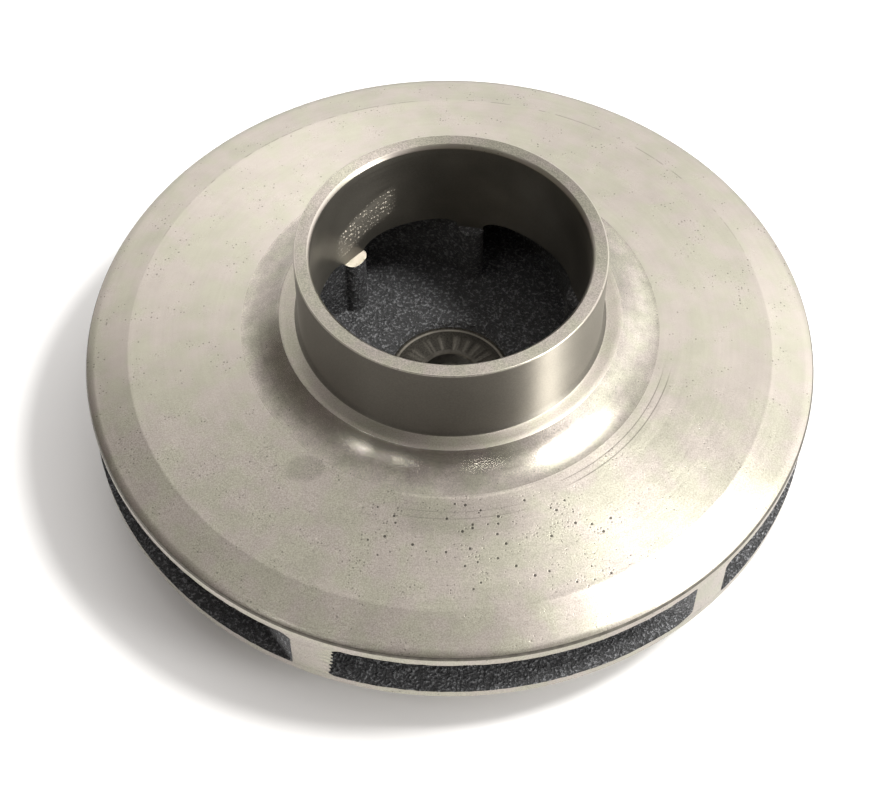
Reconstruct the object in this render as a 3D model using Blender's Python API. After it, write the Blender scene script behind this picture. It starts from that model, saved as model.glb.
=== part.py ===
"""Closed radial pump impeller, one metal casting turned where it runs.

The casting stands on the face of its rear hub, with the suction eye upwards.
The origin is the middle of that face and +Z is the axis of rotation.
It is made as the foundry and the lathe make it: two shrouds and six vanes are
cast in one piece, and then the rim, the eye, the screw seat and the shaft
socket are cut.
"""

import math

import bmesh
import bpy

MM = 0.001

# Overall sizes
RIM_RADIUS = 105 * MM
HUB_PROJECTION = 18 * MM
RIM_WIDTH = 21 * MM
NECK_HEIGHT = 38.9 * MM

# Wall thicknesses at the rim
BACK_SHROUD = 3.0 * MM
FRONT_SHROUD = 3.15 * MM

# Front shroud, outside
LAND_INNER_RADIUS = 92.6 * MM
LAND_RISE = 3.15 * MM
FILLET_FOOT_RADIUS = 59.9 * MM
FILLET_FOOT_RISE = 7.9 * MM
LEDGE_OUTER_RADIUS = 48.6 * MM
LEDGE_INNER_RADIUS = 44.8 * MM
LEDGE_RISE = 13.0 * MM
NECK_RADIUS = 43.2 * MM
NECK_EDGE_CHAMFER = 0.5 * MM

# Eye
EYE_RADIUS = 38.6 * MM
EYE_EDGE_CHAMFER = 1.1 * MM
EYE_BORE_END = 4.4 * MM
CAST_EYE_RADIUS = 37.5 * MM

# Passage roof, as radius and height over the rim's top corner
ROOF_AT_EYE = 10.3 * MM
ROOF_TURN = (4.9 * MM, 3.9 * MM)
ROOF_TURN_RADIUS = 52 * MM
ROOF_STRAIGHT = (66 * MM, 2.4 * MM)
ROOF_AT_LAND = -0.5 * MM

# Passage floor
FLOOR_RISE = 1.2 * MM

# Hub
HUB_RADIUS = 24 * MM
HUB_DRAFT = 0.8 * MM
HUB_EDGE_CHAMFER = 1.0 * MM
HUB_FILLET = 3.0 * MM
SEAT_RADIUS = 17.9 * MM
SEAT_MOUTH_RADIUS = 18.9 * MM
SEAT_DEPTH = 2.4 * MM
SCREW_HOLE_RADIUS = 8.5 * MM
SOCKET_RADIUS = 12 * MM
SOCKET_DEPTH = 15 * MM
KEYWAY_WIDTH = 8 * MM
KEYWAY_RADIUS = 15.3 * MM

# Vanes
VANE_COUNT = 6
VANE_ANGLE = math.radians(27.2)
VANE_END_AZIMUTH = math.radians(-49.4)
# How far each vane stands off even spacing, in degrees, as the sand cores left them
VANE_SHIFTS = (1.9, 0.0, 0.0, -0.5, 2.5, -0.5)
VANE_THICKNESS_AT_RIM = 5.2 * MM
VANE_THICKNESS_AT_EYE = 3.3 * MM
VANE_TIP_RADIUS = 35.8 * MM
VANE_NOSE_DEPTH = 2.6 * MM
VANE_BURIAL = 1.5 * MM

# Turned edges of the rim
RIM_TOP_CHAMFER = 0.7 * MM
RIM_BACK_CHAMFER = 0.5 * MM

# Machining allowance that the cutters take off, and their reach past the casting
ALLOWANCE = 2 * MM
REACH = 15 * MM

# Fineness of the round surfaces
TURN_STEPS = 72
VANE_STEPS = 22
NOSE_STEPS = 5
CURVE_STEPS = 6

BACK_FACE = HUB_PROJECTION
RIM_TOP = HUB_PROJECTION + RIM_WIDTH
NECK_TOP = RIM_TOP + NECK_HEIGHT
FLOOR_AT_RIM = BACK_FACE + BACK_SHROUD
FLOOR_AT_HUB = FLOOR_AT_RIM + FLOOR_RISE
SEAT_FACE = FLOOR_AT_HUB - SEAT_DEPTH
LAND_SLOPE = LAND_RISE / (RIM_RADIUS - LAND_INNER_RADIUS)


def clear_scene():
    for item in list(bpy.data.objects):
        bpy.data.objects.remove(item, do_unlink=True)


def bezier(start, first, second, end, steps):
    """Points along a cubic curve, both ends included."""
    points = []
    for step in range(steps + 1):
        t = step / steps
        weights = ((1 - t) ** 3, 3 * t * (1 - t) ** 2, 3 * t * t * (1 - t), t ** 3)
        corners = (start, first, second, end)
        points.append(tuple(sum(w * c[axis] for w, c in zip(weights, corners)) for axis in (0, 1)))
    return points


def arc_through(start, end, start_slope, steps):
    """Arc between two profile points that leaves the start at a given slope angle."""
    run = start[0] - end[0]
    rise = end[1] - start[1]
    chord_angle = math.atan2(rise, run)
    half_turn = chord_angle - start_slope
    radius = math.hypot(run, rise) / (2 * math.sin(half_turn))
    centre = (start[0] + radius * math.sin(start_slope), start[1] + radius * math.cos(start_slope))
    points = []
    for step in range(steps + 1):
        slope = start_slope + 2 * half_turn * step / steps
        points.append((centre[0] - radius * math.sin(slope), centre[1] - radius * math.cos(slope)))
    return points


def roof_profile():
    """Underside of the front shroud, from the eye out to the uncut rim."""
    eye = (CAST_EYE_RADIUS, RIM_TOP + ROOF_AT_EYE)
    below_eye = (CAST_EYE_RADIUS, RIM_TOP + ROOF_TURN[0])
    turn = (ROOF_TURN_RADIUS, RIM_TOP + ROOF_TURN[1])
    straight = (ROOF_STRAIGHT[0], RIM_TOP + ROOF_STRAIGHT[1])
    land = (LAND_INNER_RADIUS, RIM_TOP + ROOF_AT_LAND)
    rim = (RIM_RADIUS, RIM_TOP - FRONT_SHROUD)
    slope = (land[1] - rim[1]) / (rim[0] - land[0])
    outermost = (RIM_RADIUS + ALLOWANCE, rim[1] - ALLOWANCE * slope)
    return bezier(eye, below_eye, turn, straight, CURVE_STEPS) + [land, outermost]


def roof_height(radius):
    points = roof_profile()
    if radius <= points[0][0]:
        return points[0][1]
    for (r0, z0), (r1, z1) in zip(points, points[1:]):
        if radius <= r1:
            return z0 + (z1 - z0) * (radius - r0) / (r1 - r0)
    return points[-1][1]


def floor_height(radius):
    return FLOOR_AT_RIM + FLOOR_RISE * (RIM_RADIUS - radius) / (RIM_RADIUS - SEAT_MOUTH_RADIUS)


def front_shroud_profile():
    """Closed section of the front shroud and the neck, before turning the rim and the eye."""
    outermost = RIM_RADIUS + ALLOWANCE
    foot = (FILLET_FOOT_RADIUS, RIM_TOP + FILLET_FOOT_RISE)
    ledge = (LEDGE_OUTER_RADIUS, RIM_TOP + LEDGE_RISE)
    cone_slope = math.atan2(FILLET_FOOT_RISE - LAND_RISE, LAND_INNER_RADIUS - FILLET_FOOT_RADIUS)
    outside = [
        (outermost, RIM_TOP - ALLOWANCE * LAND_SLOPE),
        (LAND_INNER_RADIUS, RIM_TOP + LAND_RISE),
    ]
    outside += arc_through(foot, ledge, cone_slope, CURVE_STEPS)
    corner = LEDGE_INNER_RADIUS - NECK_RADIUS
    outside += [
        (LEDGE_INNER_RADIUS, RIM_TOP + LEDGE_RISE),
        (NECK_RADIUS + corner * 0.3, RIM_TOP + LEDGE_RISE + corner * 0.3),
        (NECK_RADIUS, RIM_TOP + LEDGE_RISE + corner),
        (NECK_RADIUS, NECK_TOP - NECK_EDGE_CHAMFER),
        (NECK_RADIUS - NECK_EDGE_CHAMFER, NECK_TOP),
        (CAST_EYE_RADIUS, NECK_TOP),
    ]
    return outside + roof_profile()


def back_shroud_profile():
    """Section of the back shroud and the hub, from the axis round to the axis."""
    outermost = RIM_RADIUS + ALLOWANCE
    fillet_end = HUB_RADIUS + HUB_DRAFT
    return [
        (0, FLOOR_AT_HUB),
        (SEAT_MOUTH_RADIUS, FLOOR_AT_HUB),
        (outermost, floor_height(outermost)),
        (outermost, BACK_FACE),
        (fillet_end + HUB_FILLET, BACK_FACE),
        (fillet_end + HUB_FILLET * 0.3, BACK_FACE - HUB_FILLET * 0.3),
        (fillet_end, BACK_FACE - HUB_FILLET),
        (HUB_RADIUS, HUB_EDGE_CHAMFER),
        (HUB_RADIUS - HUB_EDGE_CHAMFER, 0),
        (0, 0),
    ]


def turned_mesh(name, profile):
    """Solid of revolution from a closed section, or from one that starts and ends on the axis."""
    mesh = bmesh.new()
    rings = []
    for radius, height in profile:
        if radius == 0:
            rings.append([mesh.verts.new((0, 0, height))])
            continue
        ring = []
        for step in range(TURN_STEPS):
            turn = 2 * math.pi * step / TURN_STEPS
            ring.append(mesh.verts.new((radius * math.cos(turn), radius * math.sin(turn), height)))
        rings.append(ring)
    pairs = list(zip(rings, rings[1:]))
    if len(rings[0]) > 1:
        pairs.append((rings[-1], rings[0]))
    for upper, lower in pairs:
        for step in range(TURN_STEPS):
            following = (step + 1) % TURN_STEPS
            corners = [upper[step % len(upper)], lower[step % len(lower)]]
            corners += [lower[following % len(lower)], upper[following % len(upper)]]
            unique = list(dict.fromkeys(corners))
            mesh.faces.new(unique)
    return finished_mesh(name, mesh)


def finished_mesh(name, mesh):
    bmesh.ops.recalc_face_normals(mesh, faces=mesh.faces)
    data = bpy.data.meshes.new(name)
    mesh.to_mesh(data)
    mesh.free()
    return data


def vane_thickness(radius):
    share = math.log(RIM_RADIUS / radius) / math.log(RIM_RADIUS / VANE_TIP_RADIUS)
    return VANE_THICKNESS_AT_RIM + (VANE_THICKNESS_AT_EYE - VANE_THICKNESS_AT_RIM) * share


def vane_outline():
    """Plan of one vane as (radius, azimuth): in along its outer side, round the nose and back out."""
    start = RIM_RADIUS + ALLOWANCE
    nose = VANE_TIP_RADIUS + VANE_NOSE_DEPTH
    inward = [(start * (nose / start) ** (step / VANE_STEPS), -1) for step in range(VANE_STEPS + 1)]
    turns = [math.pi * step / NOSE_STEPS for step in range(1, NOSE_STEPS)]
    tip = [(nose - VANE_NOSE_DEPTH * math.sin(turn), -math.cos(turn)) for turn in turns]
    outward = [(radius, 1) for radius, side in reversed(inward)]
    outline = []
    for radius, side in inward + tip + outward:
        azimuth = VANE_END_AZIMUTH - math.log(RIM_RADIUS / max(radius, nose)) / math.tan(VANE_ANGLE)
        azimuth += side * vane_thickness(radius) / 2 / (radius * math.sin(VANE_ANGLE))
        outline.append((radius, azimuth))
    return outline


def vanes_mesh():
    """All vanes as closed bodies, sunk a little into both shrouds."""
    mesh = bmesh.new()
    outline = vane_outline()
    count = len(outline)
    for vane in range(VANE_COUNT):
        turn = 2 * math.pi * vane / VANE_COUNT + math.radians(VANE_SHIFTS[vane])
        lower, upper = [], []
        for radius, azimuth in outline:
            x = radius * math.cos(azimuth + turn)
            y = radius * math.sin(azimuth + turn)
            lower.append(mesh.verts.new((x, y, floor_height(radius) - VANE_BURIAL)))
            upper.append(mesh.verts.new((x, y, roof_height(radius) + VANE_BURIAL)))
        for index in range(count):
            following = (index + 1) % count
            mesh.faces.new((lower[index], lower[following], upper[following], upper[index]))
        for ring in (lower, upper):
            for index in range(count // 2 - 1):
                mesh.faces.new((ring[index], ring[index + 1], ring[-2 - index], ring[-1 - index]))
    return finished_mesh("vanes", mesh)


def rim_cutter_profile():
    """Ring that turns the rim to size and breaks its two corners."""
    outside = RIM_RADIUS + REACH
    return [
        (RIM_RADIUS - 2 * RIM_BACK_CHAMFER, BACK_FACE - RIM_BACK_CHAMFER),
        (RIM_RADIUS, BACK_FACE + RIM_BACK_CHAMFER),
        (RIM_RADIUS, RIM_TOP - RIM_TOP_CHAMFER),
        (RIM_RADIUS - 2 * RIM_TOP_CHAMFER, RIM_TOP + 1.3 * RIM_TOP_CHAMFER),
        (outside, RIM_TOP + 1.3 * RIM_TOP_CHAMFER),
        (outside, BACK_FACE - RIM_BACK_CHAMFER),
    ]


def eye_cutter_profile():
    """Plug that bores the eye and breaks its upper edge."""
    flare = EYE_EDGE_CHAMFER + ALLOWANCE
    return [
        (0, NECK_TOP + ALLOWANCE),
        (EYE_RADIUS + flare, NECK_TOP + ALLOWANCE),
        (EYE_RADIUS, NECK_TOP - EYE_EDGE_CHAMFER),
        (EYE_RADIUS, RIM_TOP + EYE_BORE_END),
        (0, RIM_TOP + EYE_BORE_END),
    ]


def hub_cutter_profile():
    """Plug that spot-faces the screw seat, drills the screw hole and bores the shaft socket."""
    wall_slope = (SEAT_MOUTH_RADIUS - SEAT_RADIUS) / SEAT_DEPTH
    return [
        (0, FLOOR_AT_HUB + ALLOWANCE),
        (SEAT_MOUTH_RADIUS + ALLOWANCE * wall_slope, FLOOR_AT_HUB + ALLOWANCE),
        (SEAT_RADIUS, SEAT_FACE),
        (SCREW_HOLE_RADIUS, SEAT_FACE),
        (SCREW_HOLE_RADIUS, SOCKET_DEPTH),
        (SOCKET_RADIUS, SOCKET_DEPTH),
        (SOCKET_RADIUS, -ALLOWANCE),
        (0, -ALLOWANCE),
    ]


def keyway_mesh():
    mesh = bmesh.new()
    bmesh.ops.create_cube(mesh, size=1)
    height = SOCKET_DEPTH + ALLOWANCE
    for corner in mesh.verts:
        corner.co.x *= KEYWAY_WIDTH
        corner.co.y = (corner.co.y + 0.5) * KEYWAY_RADIUS
        corner.co.z = (corner.co.z + 0.5) * height - ALLOWANCE
    return finished_mesh("keyway", mesh)


def add_object(name, data):
    item = bpy.data.objects.new(name, data)
    bpy.context.scene.collection.objects.link(item)
    return item


def add_guide(name, data):
    item = add_object(name, data)
    item.hide_render = True
    item.display_type = "WIRE"
    return item


def join_by_boolean(target, operand, operation):
    modifier = target.modifiers.new(operand.name, "BOOLEAN")
    modifier.operation = operation
    modifier.solver = "EXACT"
    modifier.object = operand


def casting_material():
    material = bpy.data.materials.new("turned_cast_metal")
    material.use_nodes = True
    shader = material.node_tree.nodes["Principled BSDF"]
    shader.inputs["Base Color"].default_value = (0.56, 0.53, 0.48, 1)
    shader.inputs["Metallic"].default_value = 1.0
    shader.inputs["Roughness"].default_value = 0.38
    return material


def build_impeller():
    casting = add_object("impeller_casting", turned_mesh("back_shroud", back_shroud_profile()))
    casting.data.materials.append(casting_material())
    cast_pieces = [
        add_guide("front_shroud_blank", turned_mesh("front_shroud", front_shroud_profile())),
        add_guide("vane_blanks", vanes_mesh()),
    ]
    cutters = [
        add_guide("rim_cutter", turned_mesh("rim_cutter", rim_cutter_profile())),
        add_guide("eye_cutter", turned_mesh("eye_cutter", eye_cutter_profile())),
        add_guide("hub_cutter", turned_mesh("hub_cutter", hub_cutter_profile())),
        add_guide("keyway_cutter", keyway_mesh()),
    ]
    for piece in cast_pieces:
        join_by_boolean(casting, piece, "UNION")
    for cutter in cutters:
        join_by_boolean(casting, cutter, "DIFFERENCE")
    casting.data.shade_smooth()
    casting.data.set_sharp_from_angle(angle=math.radians(25))


clear_scene()
build_impeller()
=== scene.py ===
"""Looks of a closed pump impeller: one casting, turned bright outside and left rough inside."""
import math

import bpy
import bmesh
from mathutils import Matrix, Vector, noise


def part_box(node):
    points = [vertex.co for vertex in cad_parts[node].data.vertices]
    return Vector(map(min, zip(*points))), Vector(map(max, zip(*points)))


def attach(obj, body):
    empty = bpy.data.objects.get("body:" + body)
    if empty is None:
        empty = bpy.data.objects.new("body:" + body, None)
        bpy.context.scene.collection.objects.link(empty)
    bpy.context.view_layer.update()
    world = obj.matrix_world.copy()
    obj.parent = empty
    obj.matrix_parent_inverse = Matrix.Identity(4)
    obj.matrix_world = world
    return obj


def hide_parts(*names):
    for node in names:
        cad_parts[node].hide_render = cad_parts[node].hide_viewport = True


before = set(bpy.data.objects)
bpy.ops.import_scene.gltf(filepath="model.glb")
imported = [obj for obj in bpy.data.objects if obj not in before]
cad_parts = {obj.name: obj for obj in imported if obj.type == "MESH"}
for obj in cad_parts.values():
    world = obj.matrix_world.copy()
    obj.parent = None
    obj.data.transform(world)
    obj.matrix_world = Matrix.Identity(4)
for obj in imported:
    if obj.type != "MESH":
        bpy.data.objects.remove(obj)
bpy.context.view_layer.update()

MM = 0.001
NODE = "impeller_casting"

# Overall sizes, read from the frame
HIGHEST_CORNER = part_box(NODE)[1]
RIM_RADIUS = HIGHEST_CORNER[0]
NECK_TOP = HIGHEST_CORNER[2]

# Heights
BACK_FACE = 18 * MM
RIM_TOP = 39 * MM
FLOOR_AT_RIM = 21 * MM
FLOOR_AT_HUB = 22.2 * MM
SEAT_FACE = 19.8 * MM
BAND_BOTTOM = RIM_TOP - 3.15 * MM

# Front shroud
LAND = (92.6 * MM, RIM_TOP + 3.15 * MM)
FILLET_FOOT = (59.9 * MM, RIM_TOP + 7.9 * MM)
LEDGE = (48.6 * MM, RIM_TOP + 13.0 * MM)
LEDGE_INNER_RADIUS = 44.8 * MM
NECK_RADIUS = 43.2 * MM
TOP_ROUNDING = 0.4 * MM
TOP_CROWN = 0.1 * MM
RIM_CHAMFER = 0.38 * MM
EYE_RADIUS = 38.6 * MM
CAST_EYE_RADIUS = 37.5 * MM
EYE_BORE_END = RIM_TOP + 4.4 * MM

# Hub
SEAT_RADIUS = 17.9 * MM
SEAT_MOUTH_RADIUS = 18.9 * MM
SCREW_HOLE_RADIUS = 8.5 * MM
SOCKET_RADIUS = 12 * MM
SOCKET_DEPTH = 15 * MM
KEYWAY_WIDTH = 8 * MM
KEYWAY_RADIUS = 15.3 * MM
HUB_RADIUS = 24 * MM
HUB_FOOT_RADIUS = 24.8 * MM
HUB_FILLET = 3 * MM

# Vanes
VANE_COUNT = 6
VANE_ANGLE = math.radians(27.2)
VANE_END_AZIMUTH = math.radians(-49.4)
VANE_THICKNESS_AT_RIM = 5.2 * MM
VANE_THICKNESS_AT_EYE = 3.3 * MM
VANE_TIP_RADIUS = 35.8 * MM
VANE_NOSE_DEPTH = 2.6 * MM
# How far each vane stands off even spacing, in degrees, as the sand cores left them
VANE_SHIFTS = (1.9, 0.0, 0.0, -0.5, 2.5, -0.5)
# Fillet radii of each vane in mm: outer side at floor and roof, inner side at floor and roof
VANE_FILLETS = (
    (3.2, 0.5, 0.6, 2.2),
    (0.8, 1.6, 0.5, 0.8),
    (1.5, 0.7, 0.7, 0.6),
    (0.6, 1.2, 0.4, 1.0),
    (2.2, 0.8, 0.6, 0.7),
    (0.4, 2.2, 0.8, 1.5),
)
# Vane whose end has a torn edge, and vane whose shelf in the eye was cut bright, counted from 0
TORN_VANE = 5
BRIGHT_SHELF_VANE = 5
TOOTH_PITCH = 2.05 * MM
TOOTH_LENGTH = 1.3 * MM
TOOTH_LEAN = 0.12
SHELF_LEAN = 0.2
EYE_FILLET = 2.2 * MM
EYE_FILLET_REACH = 9 * MM

# Fineness of the meshes
AROUND = 600
ALONG_VANE = 150
AROUND_NOSE = 14
ACROSS_VANE_END = 16

# Finishes, by their place in the list of materials of a piece
FACE, CAST, BORE, NECK, FILLET, SEAT, END, LEDGE_FACE, EDGE = range(9)


def arc_through(start, end, start_slope, steps):
    """Arc between two profile points that leaves the start at a given slope angle."""
    run = start[0] - end[0]
    rise = end[1] - start[1]
    half_turn = math.atan2(rise, run) - start_slope
    radius = math.hypot(run, rise) / (2 * math.sin(half_turn))
    centre = (start[0] + radius * math.sin(start_slope), start[1] + radius * math.cos(start_slope))
    slopes = [start_slope + 2 * half_turn * step / steps for step in range(steps + 1)]
    return [(centre[0] - radius * math.sin(s), centre[1] - radius * math.cos(s)) for s in slopes]


def line(start, end, steps):
    """Evenly spaced points after start, up to and with end."""
    shares = [step / steps for step in range(1, steps + 1)]
    return [tuple(a + (b - a) * share for a, b in zip(start, end)) for share in shares]


def bezier(corners, steps):
    """Points of the cubic curve with these four corners."""
    points = []
    for step in range(steps + 1):
        t = step / steps
        weights = ((1 - t) ** 3, 3 * t * (1 - t) ** 2, 3 * t * t * (1 - t), t ** 3)
        points.append(tuple(sum(w * c[axis] for w, c in zip(weights, corners)) for axis in (0, 1)))
    return points


def roof_curve():
    """Underside of the front shroud, from the bored eye out to the rim."""
    corners = (
        (CAST_EYE_RADIUS, RIM_TOP + 10.3 * MM),
        (CAST_EYE_RADIUS, RIM_TOP + 4.9 * MM),
        (52 * MM, RIM_TOP + 3.9 * MM),
        (66 * MM, RIM_TOP + 2.4 * MM),
    )
    curve = [point for point in bezier(corners, 36) if point[0] > EYE_RADIUS]
    curve += line(curve[-1], (LAND[0], RIM_TOP - 0.5 * MM), 22)
    curve += line(curve[-1], (RIM_RADIUS, BAND_BOTTOM), 14)
    return curve


ROOF = roof_curve()


def roof_height(radius):
    """Height of the front shroud's underside."""
    if radius <= ROOF[0][0]:
        return ROOF[0][1]
    for (r0, z0), (r1, z1) in zip(ROOF, ROOF[1:]):
        if radius <= r1:
            return z0 + (z1 - z0) * (radius - r0) / (r1 - r0)
    return ROOF[-1][1]


def floor_height(radius):
    """Height of the back shroud's inside."""
    rise = FLOOR_AT_HUB - FLOOR_AT_RIM
    return FLOOR_AT_RIM + rise * (RIM_RADIUS - radius) / (RIM_RADIUS - SEAT_MOUTH_RADIUS)


def quarter_turns(steps):
    """Angles of a quarter turn, after 0 and up to and with the right angle."""
    return [math.pi / 2 * step / steps for step in range(1, steps + 1)]


def joined(sections):
    """One list of (radius, height, finish) from sections that have one finish each."""
    return [(radius, height, finish) for points, finish in sections for radius, height in points]


def front_shroud_profile():
    """Closed section of the front shroud, as (radius, height, finish of the face that follows)."""
    cone_slope = math.atan2(FILLET_FOOT[1] - LAND[1], LAND[0] - FILLET_FOOT[0])
    rim = [(RIM_RADIUS, BAND_BOTTOM)]
    chamfer_at_rim = [
        (RIM_RADIUS, RIM_TOP - 0.75 * MM),
        (RIM_RADIUS - 0.05 * MM, RIM_TOP - 0.6 * MM),
        (RIM_RADIUS - RIM_CHAMFER, RIM_TOP),
    ]
    land_start = (RIM_RADIUS - RIM_CHAMFER - 0.1 * MM, RIM_TOP + 0.12 * MM)
    land_slope = (LAND[1] - land_start[1]) / (land_start[0] - LAND[0])
    before = [(LAND[0] + gap * MM, LAND[1] - gap * MM * land_slope) for gap in (0.3, 0.1)]
    after = [(LAND[0] - gap * MM, LAND[1] + gap * MM * math.tan(cone_slope)) for gap in (0.1, 0.3)]
    land = [land_start] + line(land_start, before[0], 5) + before[1:]
    cone = after + line(after[-1], FILLET_FOOT, 10)[:-1]
    fillet = arc_through(FILLET_FOOT, LEDGE, cone_slope, 26)[:-1]
    edge = [(LEDGE[0] + 0.12 * MM, LEDGE[1] - 0.14 * MM), (LEDGE[0] - 0.12 * MM, LEDGE[1])]
    ledge = line(edge[-1], (LEDGE_INNER_RADIUS, LEDGE[1]), 3)
    corner = []
    lip = LEDGE_INNER_RADIUS - NECK_RADIUS
    for turn in quarter_turns(5):
        height = LEDGE[1] + lip * (1 - math.cos(turn))
        corner.append((LEDGE_INNER_RADIUS - lip * math.sin(turn), height))
    neck = line(corner[-1], (NECK_RADIUS, NECK_TOP - 0.55 * MM), 10)[:-1]
    top_edge = []
    for turn in (0, *quarter_turns(6)):
        radius = NECK_RADIUS - TOP_ROUNDING * (1 - math.cos(turn))
        top_edge.append((radius, NECK_TOP - TOP_CROWN - TOP_ROUNDING * (1 - math.sin(turn))))
    top_face = [
        (NECK_RADIUS - TOP_ROUNDING - 0.05 * MM, NECK_TOP - 0.12 * MM),
        (EYE_RADIUS + 1.0 * MM, NECK_TOP),
    ]
    chamfer_at_eye = [
        (EYE_RADIUS + 0.9 * MM, NECK_TOP - 0.05 * MM),
        (EYE_RADIUS + 0.05 * MM, NECK_TOP - 1.0 * MM),
    ]
    bore_top = (EYE_RADIUS, NECK_TOP - 1.15 * MM)
    bore = [bore_top] + line(bore_top, (EYE_RADIUS, ROOF[0][1] + 0.25 * MM), 12)
    sections = (
        (rim, FACE),
        (chamfer_at_rim, EDGE),
        (land + cone, FACE),
        (fillet, FILLET),
        (edge + ledge, LEDGE_FACE),
        (corner + neck, NECK),
        (top_edge, FACE),
        (top_face, END),
        (chamfer_at_eye, FACE),
        (bore, BORE),
        (ROOF[:-1], CAST),
    )
    return joined(sections)


def back_shroud_profile():
    """Closed section of the back shroud with the hub."""
    seat = line((SCREW_HOLE_RADIUS + 0.3 * MM, SEAT_FACE), (SEAT_RADIUS, SEAT_FACE), 8)
    wall = [
        (SEAT_RADIUS + 0.3 * MM, SEAT_FACE + 0.3 * MM),
        (SEAT_MOUTH_RADIUS - 0.1 * MM, FLOOR_AT_HUB - 0.25 * MM),
    ]
    floor_start = (SEAT_MOUTH_RADIUS + 0.25 * MM, FLOOR_AT_HUB)
    cast_floor = [floor_start] + line(floor_start, (RIM_RADIUS, FLOOR_AT_RIM), 96)[:-1]
    rim = [
        (RIM_RADIUS, FLOOR_AT_RIM),
        (RIM_RADIUS, BACK_FACE + 0.5 * MM),
        (RIM_RADIUS - 0.5 * MM, BACK_FACE),
    ]
    back = line(rim[-1], (HUB_FOOT_RADIUS + HUB_FILLET, BACK_FACE), 30)
    corner = []
    for turn in quarter_turns(6):
        radius = HUB_FOOT_RADIUS + HUB_FILLET * (1 - math.sin(turn))
        corner.append((radius, BACK_FACE - HUB_FILLET * (1 - math.cos(turn))))
    boss = line(corner[-1], (HUB_RADIUS, 1.0 * MM), 5) + [(HUB_RADIUS - 1.0 * MM, 0)]
    boss += line(boss[-1], (SOCKET_RADIUS + 0.6 * MM, 0), 4) + [(SOCKET_RADIUS, 0.6 * MM)]
    socket = line(boss[-1], (SOCKET_RADIUS, SOCKET_DEPTH), 6)
    hole = [(SCREW_HOLE_RADIUS, SOCKET_DEPTH), (SCREW_HOLE_RADIUS, SEAT_FACE - 0.3 * MM)]
    hole += [(SCREW_HOLE_RADIUS + 0.3 * MM, SEAT_FACE)]
    sections = (
        (seat, SEAT),
        (wall, CAST),
        (cast_floor, CAST),
        (rim + back + corner + boss, FACE),
        (socket, NECK),
        (hole, EDGE),
    )
    return joined(sections)


def cast_relief(point):
    """How far a point of a sand-cast surface stands out: soft waves with grains of sand on them."""
    waves = noise.noise(point / (7 * MM))
    lumps = noise.noise(point / (2.3 * MM) + Vector((7.3, 1.9, 4.1)))
    grains = noise.noise(point / (1.1 * MM) + Vector((2.7, 5.3, 9.9)))
    return (0.16 * waves + 0.20 * lumps + 0.16 * grains) * MM


def roughen(mesh):
    """Displace the cast faces, and shift the edges where the turned rim cuts through them."""
    mesh.normal_update()
    moves = []
    for vert in mesh.verts:
        finishes = {face.material_index for face in vert.link_faces}
        if finishes == {CAST}:
            moves.append((vert, vert.normal * cast_relief(vert.co)))
        elif CAST in finishes and math.hypot(vert.co.x, vert.co.y) > RIM_RADIUS - 0.1 * MM:
            ragged = noise.noise(vert.co / (2.6 * MM)) + 0.5 * noise.noise(vert.co / (1.2 * MM))
            moves.append((vert, Vector((0, 0, 0.30 * MM * ragged))))
    for vert, move in moves:
        vert.co += move


def finished(name, mesh, finishes):
    """Turn the closed mesh into a piece that rides on the body in place of the plain node."""
    data = bpy.data.meshes.new(name)
    mesh.to_mesh(data)
    mesh.free()
    for material in finishes:
        data.materials.append(material)
    data.set_sharp_from_angle(angle=math.radians(38))
    piece = bpy.data.objects.new(name, data)
    bpy.context.scene.collection.objects.link(piece)
    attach(piece, "root")
    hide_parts(NODE)
    return piece


def lathe(name, profile, finishes):
    """Closed solid of revolution, whose cast faces are roughened."""
    mesh = bmesh.new()
    turns = [2 * math.pi * index / AROUND for index in range(AROUND)]
    directions = [(math.cos(turn), math.sin(turn)) for turn in turns]
    rings = []
    for radius, height, finish in profile:
        rings.append([mesh.verts.new((radius * x, radius * y, height)) for x, y in directions])
    for place, (radius, height, finish) in enumerate(profile):
        upper = rings[place]
        lower = rings[(place + 1) % len(rings)]
        for index in range(AROUND):
            following = (index + 1) % AROUND
            face = mesh.faces.new((upper[index], lower[index], lower[following], upper[following]))
            face.material_index = finish
            face.smooth = True
    bmesh.ops.recalc_face_normals(mesh, faces=mesh.faces)
    roughen(mesh)
    return finished(name, mesh, finishes)


def fillet_reach(distance, radius):
    """How far a fillet of that radius stands out from the vane, at a distance from the wall."""
    if radius <= 0 or distance >= radius:
        return 0
    inside = radius - max(distance, 0)
    return radius - math.sqrt(max(radius * radius - inside * inside, 0))


def half_thickness(radius):
    """Half the thickness of a vane, which tapers towards the eye."""
    share = math.log(RIM_RADIUS / radius) / math.log(RIM_RADIUS / VANE_TIP_RADIUS)
    return (VANE_THICKNESS_AT_RIM + (VANE_THICKNESS_AT_EYE - VANE_THICKNESS_AT_RIM) * share) / 2


def tooth(height):
    """How far the torn knife edge stands out at a height: uneven teeth left by the turning tool."""
    phase = height / TOOTH_PITCH + 0.35 * noise.noise(Vector((height / (3 * MM), 0.4, 0)))
    wave = 1 - abs(2 * (phase % 1) - 1)
    size = 0.75 + 0.6 * noise.noise(Vector((height / (2.2 * MM), 3.1, 0)))
    return TOOTH_LENGTH * size * (wave - 0.5)


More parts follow.
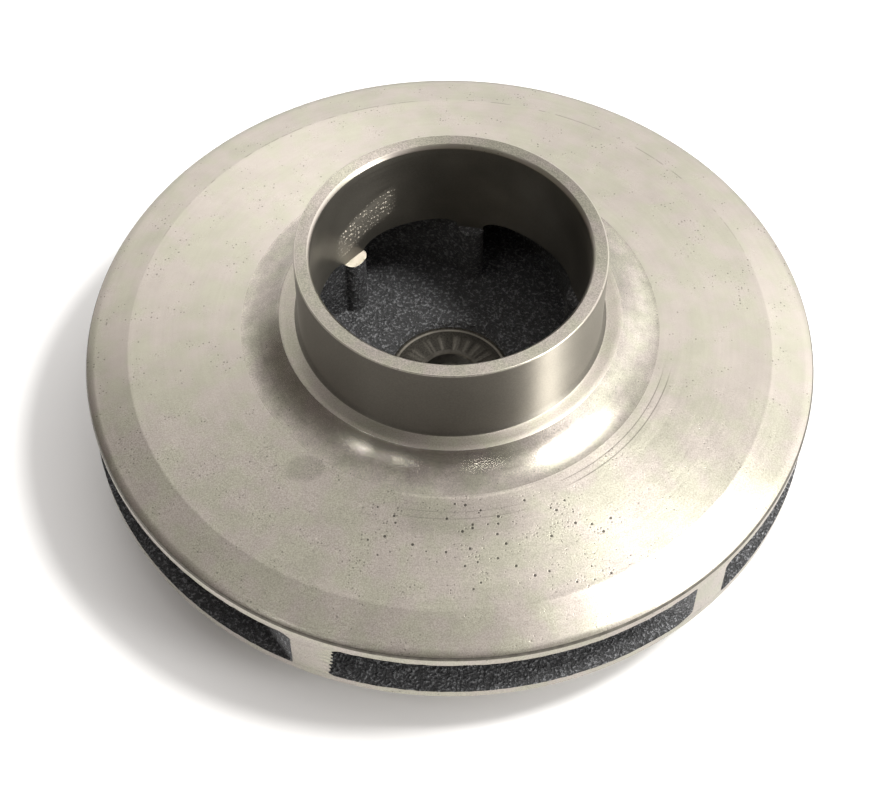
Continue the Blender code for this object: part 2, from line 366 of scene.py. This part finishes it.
def vane_rows(torn):
    """Heights up a vane as (share of the passage, offset), and the share at which the shelf is."""
    low = [(0, offset * MM) for offset in (-0.8, 0.0, 0.15, 0.4, 0.75, 1.2, 1.7, 2.3)]
    high = [(1, -offset) for share, offset in reversed(low)]
    steps = 34 if torn else 14
    middle = [(0.19 + 0.60 * step / steps, 0) for step in range(steps + 1)]
    foot, top = floor_height(EYE_RADIUS), ROOF[0][1]
    shelf = (EYE_BORE_END - foot) / (top - foot) - 0.002
    return low + middle + [(shelf, 0), (shelf + 0.004, 0)] + high, shelf


def vane_plan():
    """Plan of a vane, and where its end starts in it, from the rim round the nose and back.

    Its points are (radius, share), where share is that of the half thickness, from -1 to 1.
    """
    rim = RIM_RADIUS - 0.02 * MM
    nose = VANE_TIP_RADIUS + VANE_NOSE_DEPTH
    inward = [rim * (nose / rim) ** (step / ALONG_VANE) for step in range(ALONG_VANE + 1)]
    turns = [math.pi * step / AROUND_NOSE for step in range(1, AROUND_NOSE)]
    tip = [(nose - VANE_NOSE_DEPTH * math.sin(turn), -math.cos(turn)) for turn in turns]
    end = [(rim, 1 - 2 * step / ACROSS_VANE_END) for step in range(1, ACROSS_VANE_END)]
    points = [(radius, -1) for radius in inward] + tip
    points += [(radius, 1) for radius in reversed(inward)] + end
    return points, len(points) - len(end)


def vane(name, end_azimuth, fillets, torn, shelf_finish, finishes):
    """One vane, flared into both shrouds, cut off by the rim and by the bored eye."""
    mesh = bmesh.new()
    outer_floor, outer_roof, inner_floor, inner_roof = (radius * MM for radius in fillets)
    plan, end_start = vane_plan()
    nose = VANE_TIP_RADIUS + VANE_NOSE_DEPTH
    heights, shelf_share = vane_rows(torn)
    rows = []
    for share, offset in heights:
        row = []
        for index, (radius, across) in enumerate(plan):
            low, high = floor_height(radius), roof_height(radius)
            height = low + (high - low) * share + offset
            reach = half_thickness(radius)
            near_eye = EYE_FILLET * max(1 - (radius - EYE_RADIUS) / EYE_FILLET_REACH, 0)
            if across < 0:
                reach += fillet_reach(height - low, outer_floor)
                reach += fillet_reach(high - height, outer_roof + near_eye)
            else:
                reach += fillet_reach(height - low, inner_floor)
                reach += fillet_reach(high - height, inner_roof + near_eye)
            if height > EYE_BORE_END and radius < EYE_RADIUS:
                radius = EYE_RADIUS
            elif share == shelf_share and radius < EYE_RADIUS:
                height -= SHELF_LEAN * (EYE_RADIUS - radius)
            azimuth = end_azimuth - math.log(RIM_RADIUS / max(radius, nose)) / math.tan(VANE_ANGLE)
            azimuth += across * reach / (radius * math.sin(VANE_ANGLE))
            if torn and across > 0 and radius > RIM_RADIUS - 0.7 * MM:
                fade = max(across - 0.45, 0) / 0.55
                lean = TOOTH_LEAN * (height - (low + high) / 2)
                azimuth += (tooth(height) + lean) * fade / radius
                if index >= end_start:
                    radius -= 0.3 * fade * (TOOTH_LENGTH / 2 - tooth(height))
            row.append(mesh.verts.new((radius * math.cos(azimuth), radius * math.sin(azimuth), height)))
        rows.append(row)
    count = len(plan)
    for lower, upper in zip(rows, rows[1:]):
        for index in range(count):
            following = (index + 1) % count
            face = mesh.faces.new((lower[index], lower[following], upper[following], upper[index]))
            face.smooth = True
            face.material_index = FACE if index >= end_start - 1 else CAST
            if all(math.hypot(v.co.x, v.co.y) < EYE_RADIUS + 0.01 * MM for v in face.verts):
                heights_of_face = [v.co.z for v in face.verts]
                if min(heights_of_face) > EYE_BORE_END - 0.2 * MM:
                    face.material_index = BORE
                elif max(heights_of_face) > EYE_BORE_END:
                    face.material_index = shelf_finish
    for row in (rows[0], rows[-1]):
        mesh.faces.new(row).material_index = CAST
    bmesh.ops.recalc_face_normals(mesh, faces=mesh.faces)
    roughen(mesh)
    return finished(name, mesh, finishes)


def cut_keyway(piece):
    """Cut the keyway out of the wall of the shaft socket."""
    cutter_mesh = bmesh.new()
    bmesh.ops.create_cube(cutter_mesh, size=1)
    for vert in cutter_mesh.verts:
        vert.co.x *= KEYWAY_WIDTH
        vert.co.y = (vert.co.y + 0.5) * KEYWAY_RADIUS
        vert.co.z = (vert.co.z + 0.5) * (SOCKET_DEPTH + 2 * MM) - 2 * MM
    data = bpy.data.meshes.new("keyway_cutter")
    cutter_mesh.to_mesh(data)
    cutter_mesh.free()
    cutter = bpy.data.objects.new("keyway_cutter", data)
    bpy.context.scene.collection.objects.link(cutter)
    modifier = piece.modifiers.new("keyway", "BOOLEAN")
    modifier.operation = "DIFFERENCE"
    modifier.solver = "MANIFOLD"
    modifier.object = cutter
    graph = bpy.context.evaluated_depsgraph_get()
    cut = bpy.data.meshes.new_from_object(piece.evaluated_get(graph))
    piece.modifiers.clear()
    piece.data = cut
    bpy.data.objects.remove(cutter)


class Nodes:
    """A node tree, with short calls that add a node and feed its sockets."""

    def __init__(self, tree):
        self.tree = tree

    def node(self, kind, inputs, **settings):
        item = self.tree.nodes.new("ShaderNode" + kind)
        for name, value in settings.items():
            setattr(item, name, value)
        for socket, value in inputs.items():
            self.feed(item.inputs[socket], value)
        return item

    def feed(self, socket, value):
        if isinstance(value, bpy.types.NodeSocket):
            self.tree.links.new(value, socket)
        else:
            socket.default_value = value


class Finish(Nodes):
    """A Principled material, with calls for its patterns. Their lengths are in millimetres."""

    def __init__(self, name, metallic):
        self.material = bpy.data.materials.new(name)
        self.material.use_nodes = True
        super().__init__(self.material.node_tree)
        self.shader = self.tree.nodes["Principled BSDF"]
        self.shader.inputs["Metallic"].default_value = metallic
        coordinates = self.node("TexCoord", {})
        self.place = self.vector("SCALE", coordinates.outputs["Object"], {"Scale": 1 / MM})
        parts = self.node("SeparateXYZ", {0: self.place}).outputs
        self.x, self.y, self.z = parts
        flat = self.vector("MULTIPLY", self.place, {1: (1, 1, 0)})
        self.radius = self.node("VectorMath", {0: flat}, operation="LENGTH").outputs["Value"]
        self.heading = self.vector("NORMALIZE", flat, {})

    def vector(self, operation, first, inputs):
        return self.node("VectorMath", {0: first, **inputs}, operation=operation).outputs["Vector"]

    def math(self, operation, first, second=0.0, clamp=False):
        return self.node("Math", {0: first, 1: second}, operation=operation, use_clamp=clamp).outputs[0]

    def noise(self, pitch, at=None, detail=2.0, roughness=0.5):
        inputs = {"Vector": at or self.place, "Scale": 1 / pitch, "Detail": detail, "Roughness": roughness}
        return self.node("TexNoise", inputs).outputs[0]

    def about(self, level, source, swing):
        """A value that swings about a level as the source runs from 0 to 1."""
        inputs = {0: source, 3: level - swing / 2, 4: level + swing / 2}
        return self.node("MapRange", inputs, clamp=False).outputs[0]

    def ramp(self, source, low, high):
        """Smooth step from 0 below low to 1 above high, or the reverse where low is the larger."""
        inputs = {0: source, 1: low, 2: high}
        return self.node("MapRange", inputs, interpolation_type="SMOOTHSTEP").outputs[0]

    def total(self, *values):
        result = values[0]
        for value in values[1:]:
            result = self.math("ADD", result, value)
        return result

    def product(self, *values):
        result = values[0]
        for value in values[1:]:
            result = self.math("MULTIPLY", result, value)
        return result

    def rings(self, pitch, detail=2.0, roughness=0.5):
        """Noise drawn out along the turning direction, as fine rings that come and go."""
        drift = self.math("MULTIPLY", self.math("ADD", self.x, self.y), 0.02)
        at = self.node("CombineXYZ", {0: self.radius, 1: self.z, 2: drift}).outputs[0]
        return self.noise(pitch, at, detail, roughness)

    def spot(self, x, y, width, depth):
        """Mask of a soft-edged ellipse on the face, seen from above."""
        away = self.vector("SUBTRACT", self.place, {1: (x, y, 0)})
        scaled = self.vector("MULTIPLY", away, {1: (2 / width, 2 / depth, 0)})
        distance = self.node("VectorMath", {0: scaled}, operation="LENGTH").outputs["Value"]
        return self.ramp(distance, 1.2, 0.7)

    def pores(self, spacing, size, density):
        """Mask of small round holes. The share of the cells that have one follows the density."""
        cells = self.node("TexVoronoi", {"Vector": self.place, "Scale": 1 / spacing})
        chance = self.node("SeparateXYZ", {0: cells.outputs["Color"]}).outputs[0]
        room = self.math("SUBTRACT", self.math("ADD", chance, density), 1.0)
        radius = self.math("MULTIPLY", self.math("MINIMUM", room, 0.5), size / spacing)
        edge = self.math("SUBTRACT", radius, cells.outputs["Distance"])
        return self.math("MULTIPLY", edge, 14.0, clamp=True)

    def line_at(self, radius, width):
        """Mask of one ring-shaped line on the turned face."""
        away = self.math("ABSOLUTE", self.math("SUBTRACT", self.radius, radius))
        return self.ramp(away, width, width * 0.3)

    def tinted(self, colour):
        """The colour, drifting in patches a little towards green and towards pink."""
        drift = self.noise(8.0, self.vector("ADD", self.place, {1: (50, 20, 0)}), detail=2.0)
        green = tuple(value * share for value, share in zip(colour, (0.97, 1.0, 0.96)))
        pink = tuple(value * share for value, share in zip(colour, (1.03, 1.0, 1.05)))
        mix = self.node("Mix", {0: self.ramp(drift, 0.35, 0.65)}, data_type="RGBA")
        mix.inputs[6].default_value = (*green, 1)
        mix.inputs[7].default_value = (*pink, 1)
        return mix.outputs[2]

    def paint(self, colour, brightness):
        self.feed(self.shader.inputs["Base Color"], self.vector("SCALE", colour, {"Scale": brightness}))

    def relief(self, height):
        bump = self.node("Bump", {"Height": height, "Distance": MM})
        self.feed(self.shader.inputs["Normal"], bump.outputs["Normal"])

    def turn(self, anisotropy):
        """Highlights drawn out across the turned rings."""
        self.shader.inputs["Anisotropic"].default_value = anisotropy
        self.shader.inputs["Anisotropic Rotation"].default_value = 0.25
        tangent = self.node("Tangent", {}, direction_type="RADIAL", axis="Z")
        self.feed(self.shader.inputs["Tangent"], tangent.outputs["Tangent"])


# Colours of the turned metal and of the sand-cast skin
METAL = (0.367, 0.342, 0.293)
CAST_SKIN = (0.106, 0.108, 0.112)


def turned_face():
    """Cone and land: rings, scored lines, patches of fine grain, stains, scattered pinholes, painted
    glints, and at the front a painted highlight line and a band of painted shade.
    """
    finish = Finish("turned_face", 1.0)
    finish.turn(0.35)
    grain = finish.noise(0.42, detail=2.0, roughness=0.8)
    stains = finish.noise(9.0, detail=3.0, roughness=0.6)
    rings = finish.rings(1.1, detail=3.0)
    patches = finish.ramp(finish.noise(7.0, detail=2.0), 0.46, 0.64)
    front = finish.ramp(finish.y, -10.0, -50.0)
    porous = finish.total(finish.spot(13, -72, 78, 34), finish.product(patches, 0.35))
    holes = finish.pores(2.3, 1.0, finish.math("MULTIPLY", porous, 0.8))
    crowded = finish.total(0.22, finish.product(patches, 0.35), finish.product(porous, 0.25))
    specks = finish.pores(0.95, 0.62, crowded)
    glints = finish.pores(2.9, 0.8, finish.product(patches, finish.total(0.12, finish.product(front, 0.3))))
    smudge = finish.spot(-38.9, -51.3, 11, 8)
    marks = finish.math("MAXIMUM", finish.product(holes, 0.78), finish.product(specks, 0.42))
    coarse = finish.product(
        finish.math("SUBTRACT", grain, 0.5),
        finish.total(0.12, finish.product(patches, 0.35), finish.product(front, 1.0)),
    )
    brightness = finish.product(
        finish.math("ADD", coarse, 1.0),
        finish.about(1.0, stains, 0.24),
        finish.about(1.0, rings, 0.10),
        finish.math("SUBTRACT", 1.0, marks),
        finish.math("ADD", 1.0, finish.product(glints, 0.45)),
        finish.math("SUBTRACT", 1.0, finish.product(smudge, 0.2)),
        scored_lines_and_painted_light(finish),
    )
    finish.paint(finish.tinted(METAL), brightness)
    finish.feed(finish.shader.inputs["Roughness"], finish.total(
        finish.about(0.315, stains, 0.05), finish.about(0.0, rings, 0.06), finish.product(marks, 0.2),
        finish.product(front, porous, 0.05)))
    finish.relief(finish.total(
        finish.product(coarse, 0.012), finish.product(rings, 0.012), finish.product(marks, -0.03)))
    return finish.material


def scored_lines_and_painted_light(finish):
    """Single lines left by the tool around the fillet, and a broken dark line where cone meets land. At the
    front it also paints a painted highlight line just outside the fillet, and a wide band of painted shade
    on the cone, a painted reflection of the dark neck.
    """
    left = finish.ramp(finish.x, -38.0, -48.0)
    right = finish.product(
        finish.ramp(finish.x, 26.0, 34.0),
        finish.ramp(finish.y, -14.0, -24.0),
        finish.ramp(finish.y, -58.0, -52.0),
    )
    front = finish.product(
        finish.ramp(finish.y, -48.0, -56.0),
        finish.ramp(finish.x, -18.0, -8.0),
        finish.ramp(finish.x, 26.0, 14.0),
    )
    broken = finish.ramp(finish.noise(5.0, detail=3.0), 0.46, 0.56)
    back = finish.product(finish.ramp(finish.y, 10.0, 60.0), broken, 0.6)
    lines = (
        (57.7, 0.22, left, 1.0),
        (58.9, 0.18, left, 1.0),
        (62.4, 0.2, right, 1.0),
        (64.4, 0.24, right, 1.0),
        (64.7, 0.16, front, 0.4),
        (66.7, 0.16, front, 0.5),
        (92.7, 0.35, back, 1.0),
        # Wide band at the front: painted shade, a painted reflection of the dark neck, not a tool line.
        (67.0, 7.0, front, 0.3),
    )
    dark = finish.total(*(
        finish.product(finish.line_at(radius, width), mask, strength)
        for radius, width, mask, strength in lines
    ))
    # Bright line at the front: a painted highlight.
    bright = finish.product(finish.line_at(60.6, 0.5), front)
    return finish.total(finish.product(dark, -0.45), finish.product(bright, 0.2), 1.0)


def rim_chamfer_painted_dark():
    """The chamfer around the rim: dull, with nicks, and painted dark as painted shade for the dark
    surroundings it mirrors.
    """
    finish = Finish("rim_edge_painted_shade", 1.0)
    nicks = finish.noise(2.5, detail=3.0, roughness=0.7)
    # Painted shade: the chamfer's colour is kept far darker than the metal's.
    finish.paint(METAL, finish.about(0.36, nicks, 0.5))
    finish.shader.inputs["Roughness"].default_value = 0.45
    return finish.material


def turned_fillet():
    """The concave fillet: smoother, so that it mirrors each lamp on its own."""
    finish = Finish("turned_fillet", 1.0)
    finish.turn(0.35)
    grain = finish.noise(0.45, detail=2.0, roughness=0.8)
    rings = finish.rings(0.9, detail=3.0)
    stains = finish.noise(6.0, detail=3.0, roughness=0.6)
    streaks = finish.rings(2.4, detail=2.0)
    specks = finish.pores(1.1, 0.6, 0.4)
    brightness = finish.product(
        finish.about(0.93, grain, 0.8),
        finish.about(0.95, stains, 0.7),
        finish.about(1.0, streaks, 0.3),
        finish.math("SUBTRACT", 1.0, finish.product(specks, 0.5)),
    )
    finish.paint(finish.tinted(METAL), brightness)
    finish.feed(finish.shader.inputs["Roughness"], finish.about(0.24, rings, 0.08))
    finish.relief(finish.total(finish.product(grain, 0.012), finish.product(rings, 0.015)))
    return finish.material


def dull_face(name, level, anisotropy, sand):
    """A face turned with a coarse feed: its highlights reach far across the rings, with a sandy grain."""
    finish = Finish(name, 1.0)
    finish.turn(anisotropy)
    grain = finish.noise(0.46, detail=2.0, roughness=0.8)
    stains = finish.noise(7.0, detail=3.0)
    finish.paint(finish.tinted(METAL), finish.product(
        finish.about(level, grain, sand), finish.about(1.0, stains, 0.3)))
    finish.feed(finish.shader.inputs["Roughness"], finish.about(0.5, stains, 0.06))
    finish.relief(finish.product(grain, 0.05))
    return finish.material


def turned_neck():
    """The neck's outside and the shaft socket: fine even rings, lit in one upright streak."""
    finish = Finish("turned_neck", 1.0)
    finish.turn(1.0)
    grain = finish.noise(0.5, detail=3.0, roughness=0.7)
    rings = finish.rings(0.6, detail=3.0)
    stains = finish.noise(9.0, detail=2.0)
    finish.paint(METAL, finish.product(finish.about(0.54, grain, 0.3), finish.about(1.0, stains, 0.2)))
    finish.feed(finish.shader.inputs["Roughness"], finish.about(0.5, stains, 0.06))
    finish.relief(finish.total(finish.product(grain, 0.006), finish.product(rings, 0.006)))
    return finish.material


def bored_eye():
    """The bore: dark, with flakes of torn metal in rows on one side, where the tool chattered; that patch
    and its flakes are also painted brighter, a painted highlight.
    """
    finish = Finish("bored_eye", 1.0)
    finish.turn(0.5)
    grain = finish.noise(0.5, detail=2.0, roughness=0.8)
    rings = finish.rings(0.8, detail=3.0)
    clouds = finish.noise(14.0, detail=1.0)
    middle = finish.total(finish.product(finish.x, 0.467), 67.5)
    off_middle = finish.math("ABSOLUTE", finish.math("SUBTRACT", finish.z, middle))
    chatter_patch_and_highlight = finish.product(
        finish.ramp(off_middle, 6.5, 4.0),
        finish.ramp(finish.x, -15.5, -19.0),
        finish.ramp(finish.y, 19.0, 23.0),
    )
    rows = finish.math("PINGPONG", finish.total(finish.z, finish.product(finish.x, -0.15)), 0.9)
    flakes = finish.product(chatter_patch_and_highlight, finish.ramp(rows, 0.15, 0.75), finish.pores(0.66, 0.62, 0.85))
    # The chatter patch and its flakes are painted brighter in the colour: a painted highlight on real torn
    # metal, whose roughness and relief follow below.
    finish.paint(METAL, finish.total(
        finish.about(0.72, grain, 0.3), finish.about(0.0, clouds, 0.5), finish.product(chatter_patch_and_highlight, 0.2),
        finish.product(flakes, 1.3)))
    finish.feed(finish.shader.inputs["Roughness"], finish.total(
        finish.about(0.40, rings, 0.08), finish.product(chatter_patch_and_highlight, 0.08), finish.product(flakes, 0.2)))
    finish.relief(finish.total(finish.product(rings, 0.012), finish.product(flakes, 0.25)))
    return finish.material


def hub_seat():
    """The spot-faced seat: dark, with a thin bright ring at its edge that is a painted highlight, and soft
    chatter marks like spokes.
    """
    finish = Finish("hub_seat", 1.0)
    finish.turn(0.4)
    marks = finish.ramp(finish.noise(0.17, finish.heading, detail=1.5), 0.42, 0.68)
    spokes = finish.product(marks, finish.ramp(finish.radius, 16.0, 14.0))
    grain = finish.noise(0.6, detail=2.0, roughness=0.8)
    # The ring is a painted highlight: a line of brighter colour where the seat's edge catches the light.
    ring = finish.product(finish.line_at(17.2, 0.5), finish.about(0.8, finish.noise(5.0), 1.4))
    light = finish.total(
        finish.about(0.2, grain, 0.45), finish.product(spokes, 0.28), finish.product(ring, 0.9))
    finish.paint(METAL, light)
    finish.feed(finish.shader.inputs["Roughness"], finish.total(0.42, finish.product(spokes, 0.06)))
    finish.relief(finish.total(finish.product(spokes, 0.08), finish.product(grain, 0.08)))
    return finish.material


def cast_skin():
    """Sand-cast inside: dark, coarse and matt, so that its grains show where a lamp rakes over them; its
    brightest grains are also painted lighter, partly grain tone and partly painted glints.
    """
    finish = Finish("cast_skin", 0.2)
    coarse = finish.noise(2.2, detail=2.0)
    grains = finish.noise(0.8, detail=2.0, roughness=0.7)
    # light: the brightest grains painted lighter in the colour, partly grain tone and partly painted
    # glints.
    light = finish.ramp(grains, 0.50, 0.68)
    brightness = finish.product(
        finish.about(1.0, coarse, 0.8), finish.total(0.6, finish.product(light, 2.1)))
    finish.paint(CAST_SKIN, brightness)
    finish.feed(finish.shader.inputs["Roughness"], finish.about(0.55, grains, 0.3))
    finish.relief(finish.total(finish.product(grains, 1.3), finish.product(coarse, 0.4)))
    return finish.material


def build_impeller():
    """Front shroud, back shroud and vanes, which stand for the one casting."""
    finishes = [
        turned_face(),
        cast_skin(),
        bored_eye(),
        turned_neck(),
        turned_fillet(),
        hub_seat(),
        dull_face("end_face", 0.76, 0.55, 1.2),
        dull_face("ledge_face", 1.1, 0.75, 1.0),
        rim_chamfer_painted_dark(),
    ]
    lathe("front_shroud_and_neck", front_shroud_profile(), finishes)
    back = lathe("back_shroud_and_hub", back_shroud_profile(), finishes)
    cut_keyway(back)
    for index, fillets in enumerate(VANE_FILLETS):
        azimuth = VANE_END_AZIMUTH + 2 * math.pi * index / VANE_COUNT
        azimuth += math.radians(VANE_SHIFTS[index])
        shelf_finish = FACE if index == BRIGHT_SHELF_VANE else CAST
        vane(f"vane_{index + 1}", azimuth, fillets, index == TORN_VANE, shelf_finish, finishes)


FLOOR_REACH = 30.0
LAMP_DISTANCE = 1.6
LAMP_COLOUR = (1.0, 0.985, 0.96)
ROOM_COLOUR = (1.0, 0.995, 0.98, 1)
DIM_COLOUR = (1.0, 0.90, 0.84, 1)
DIM_LIGHT = 0.22


def add_floor():
    data = bpy.data.meshes.new("floor")
    reach = FLOOR_REACH
    corners = [(-reach, -reach, 0), (reach, -reach, 0), (reach, reach, 0), (-reach, reach, 0)]
    data.from_pydata(corners, [], [(0, 1, 2, 3)])
    floor = bpy.data.objects.new("floor", data)
    bpy.context.scene.collection.objects.link(floor)
    material = bpy.data.materials.new("pale_floor")
    material.use_nodes = True
    shader = material.node_tree.nodes["Principled BSDF"]
    shader.inputs["Base Color"].default_value = (0.9, 0.9, 0.9, 1)
    shader.inputs["Roughness"].default_value = 0.9
    shader.inputs["Specular IOR Level"].default_value = 0.0
    data.materials.append(material)


def direction_of(azimuth, elevation):
    """Unit vector towards an azimuth and an elevation in degrees."""
    a, e = math.radians(azimuth), math.radians(elevation)
    return Vector((math.cos(a) * math.cos(e), math.sin(a) * math.cos(e), math.sin(e)))


def add_lamp(name, azimuth, elevation, size, power, colour=(1, 1, 1)):
    """Round lamp, a given size across, that shines on the impeller from a direction in degrees."""
    light = bpy.data.lights.new(name, "AREA")
    light.shape = "DISK"
    light.size = size
    light.energy = power
    light.color = colour
    item = bpy.data.objects.new(name, light)
    bpy.context.scene.collection.objects.link(item)
    away = direction_of(azimuth, elevation)
    item.location = away * LAMP_DISTANCE + Vector((0, 0, RIM_TOP))
    item.rotation_mode = "QUATERNION"
    item.rotation_quaternion = away.to_track_quat("Z", "Y")


def add_lights():
    """Two large lamps on the right, small ones that the fillet mirrors, and the room around."""
    add_lamp("key", 0, 59, 0.30, 21, LAMP_COLOUR)
    add_lamp("side", -27, 20, 0.42, 12, LAMP_COLOUR)
    add_lamp("ceiling_lamp_left", -148.5, 56.5, 0.09, 0.63)
    add_lamp("ceiling_lamp_middle", -124, 61.4, 0.08, 0.36)
    add_lamp("ceiling_lamp_right", -64.4, 62.4, 0.06, 0.28)
    add_room()


class Room(Nodes):
    """World light, built up from smooth steps of its direction."""

    def __init__(self):
        world = bpy.data.worlds.new("studio")
        bpy.context.scene.world = world
        world.use_nodes = True
        super().__init__(world.node_tree)
        self.direction = self.node("TexCoord", {}).outputs["Generated"]
        self.x, self.y, self.z = self.node("SeparateXYZ", {0: self.direction}).outputs

    def step(self, source, low, high, level=1.0):
        """Light that rises smoothly from 0 to a level as the source passes from low to high."""
        inputs = {0: source, 1: low, 2: high, 4: level}
        return self.node("MapRange", inputs, interpolation_type="SMOOTHSTEP").outputs[0]

    def towards(self, azimuth, elevation):
        """Cosine of the angle to a direction given in degrees."""
        aim = {0: self.direction, 1: direction_of(azimuth, elevation)}
        return self.node("VectorMath", aim, operation="DOT_PRODUCT").outputs["Value"]

    def both(self, first, second):
        return self.node("Math", {0: first, 1: second}, operation="MULTIPLY").outputs[0]

    def sum(self, parts):
        total = 0.0
        for part in parts:
            total = self.node("Math", {0: total, 1: part}, operation="ADD").outputs[0]
        return total


def add_room():
    """A bright wall behind, a dimmer ceiling with a skylight, windows on the right, glows, dim walls."""
    room = Room()
    wall = room.step(room.y, 0.42, 0.64, 0.70)
    ceiling = room.both(room.step(room.y, -0.45, 0.3, 0.75), room.step(room.x, -0.8, -0.3))
    skylight = room.both(room.step(room.x, -0.2, 0.0), room.step(room.z, 0.86, 0.95, 0.3))
    high_window = room.both(room.step(room.x, 0.25, 0.6, 0.7), room.step(room.z, 0.3, 0.5))
    low_window = room.both(room.step(room.x, 0.6, 0.85, 1.6), room.step(room.z, 0.0, 0.2))
    glows = (
        room.step(room.towards(100, 40), 0.990, 0.9995, 3.2),
        room.step(room.towards(110, 50), 0.93, 0.995, 0.22),
        room.step(room.towards(48, 34), 0.96, 0.997, 0.8),
    )
    strength = room.sum((ceiling, wall, high_window, low_window, skylight, *glows))
    lit = room.tree.nodes["Background"]
    room.feed(lit.inputs["Color"], ROOM_COLOUR)
    room.feed(lit.inputs["Strength"], strength)
    dim = room.node("Background", {"Color": DIM_COLOUR, "Strength": DIM_LIGHT})
    light = room.node("AddShader", {0: lit.outputs[0], 1: dim.outputs[0]})
    room.feed(room.tree.nodes["World Output"].inputs["Surface"], light.outputs[0])


# Camera, fitted to the circles of the rim, the neck and the bore in the photograph
PHOTO = (894, 800)
FOCAL_PIXELS = 1840
CAMERA_ELEVATION = math.radians(52.25)
CAMERA_DISTANCE = 5.087 * 105 * MM
CAMERA_ROLL = math.radians(-0.64)
AIM_PIXEL = (449.4, 336.5)


def add_camera():
    """Camera that sees the axis at the rim's top plane in the photograph's pixel for it."""
    camera = bpy.data.cameras.new("camera")
    camera.sensor_width = 36
    camera.lens = FOCAL_PIXELS / PHOTO[0] * camera.sensor_width
    camera.clip_start = 0.01
    item = bpy.data.objects.new("camera", camera)
    bpy.context.scene.collection.objects.link(item)
    bpy.context.scene.camera = item
    away = Vector((0, -math.cos(CAMERA_ELEVATION), math.sin(CAMERA_ELEVATION)))
    target = Vector((0, 0, RIM_TOP))
    looking = away.to_track_quat("Z", "Y").to_matrix()
    yaw = math.atan2(AIM_PIXEL[0] - PHOTO[0] / 2, FOCAL_PIXELS)
    pitch = math.atan2(PHOTO[1] / 2 - AIM_PIXEL[1], FOCAL_PIXELS)
    turn = Matrix.Rotation(yaw, 3, "Y") @ Matrix.Rotation(-pitch, 3, "X")
    turn = turn @ Matrix.Rotation(-CAMERA_ROLL, 3, "Z")
    item.matrix_world = (looking @ turn).to_4x4()
    item.location = target + away * CAMERA_DISTANCE


def main():
    bpy.context.scene.view_settings.view_transform = "Standard"
    add_camera()
    build_impeller()
    add_floor()
    add_lights()


main()
